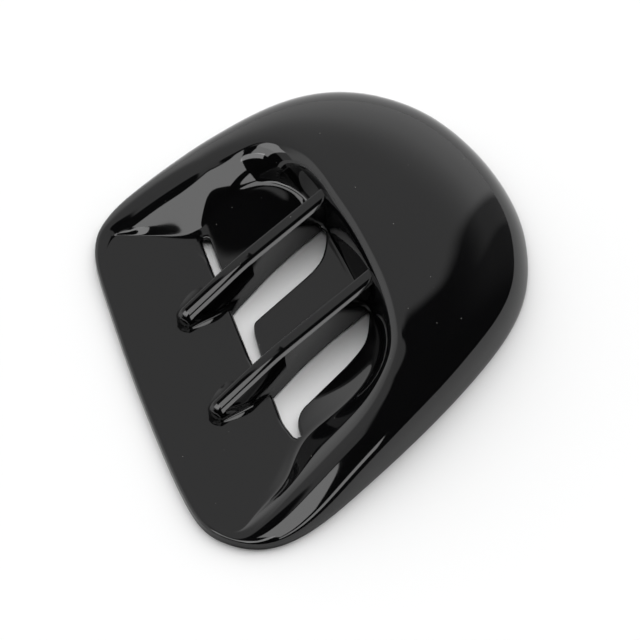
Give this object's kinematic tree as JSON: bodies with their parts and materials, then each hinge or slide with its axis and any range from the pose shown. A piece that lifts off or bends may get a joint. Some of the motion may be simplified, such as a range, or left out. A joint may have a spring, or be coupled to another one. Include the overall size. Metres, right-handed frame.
{
  "type": "fender vent cover",
  "caption": "Gloss black moulded fender vent cover: a flat ramp with slots and air vanes under a raised, rounded hood.",
  "frame": {"origin": "centre of the cover's extent in plan, on the plane of the flat rim that lies against the fender", "axes": "+Z away from the fender, +X along the air vanes towards the closed side of the hood, +Y across the vanes"},
  "size_m": [0.197, 0.1628, 0.0265],
  "materials": {
    "gloss_black_plastic": "polished black moulded plastic"
  },
  "bodies": {
    "root": {"vent_cover": "gloss_black_plastic"}
  },
  "joints": []
}
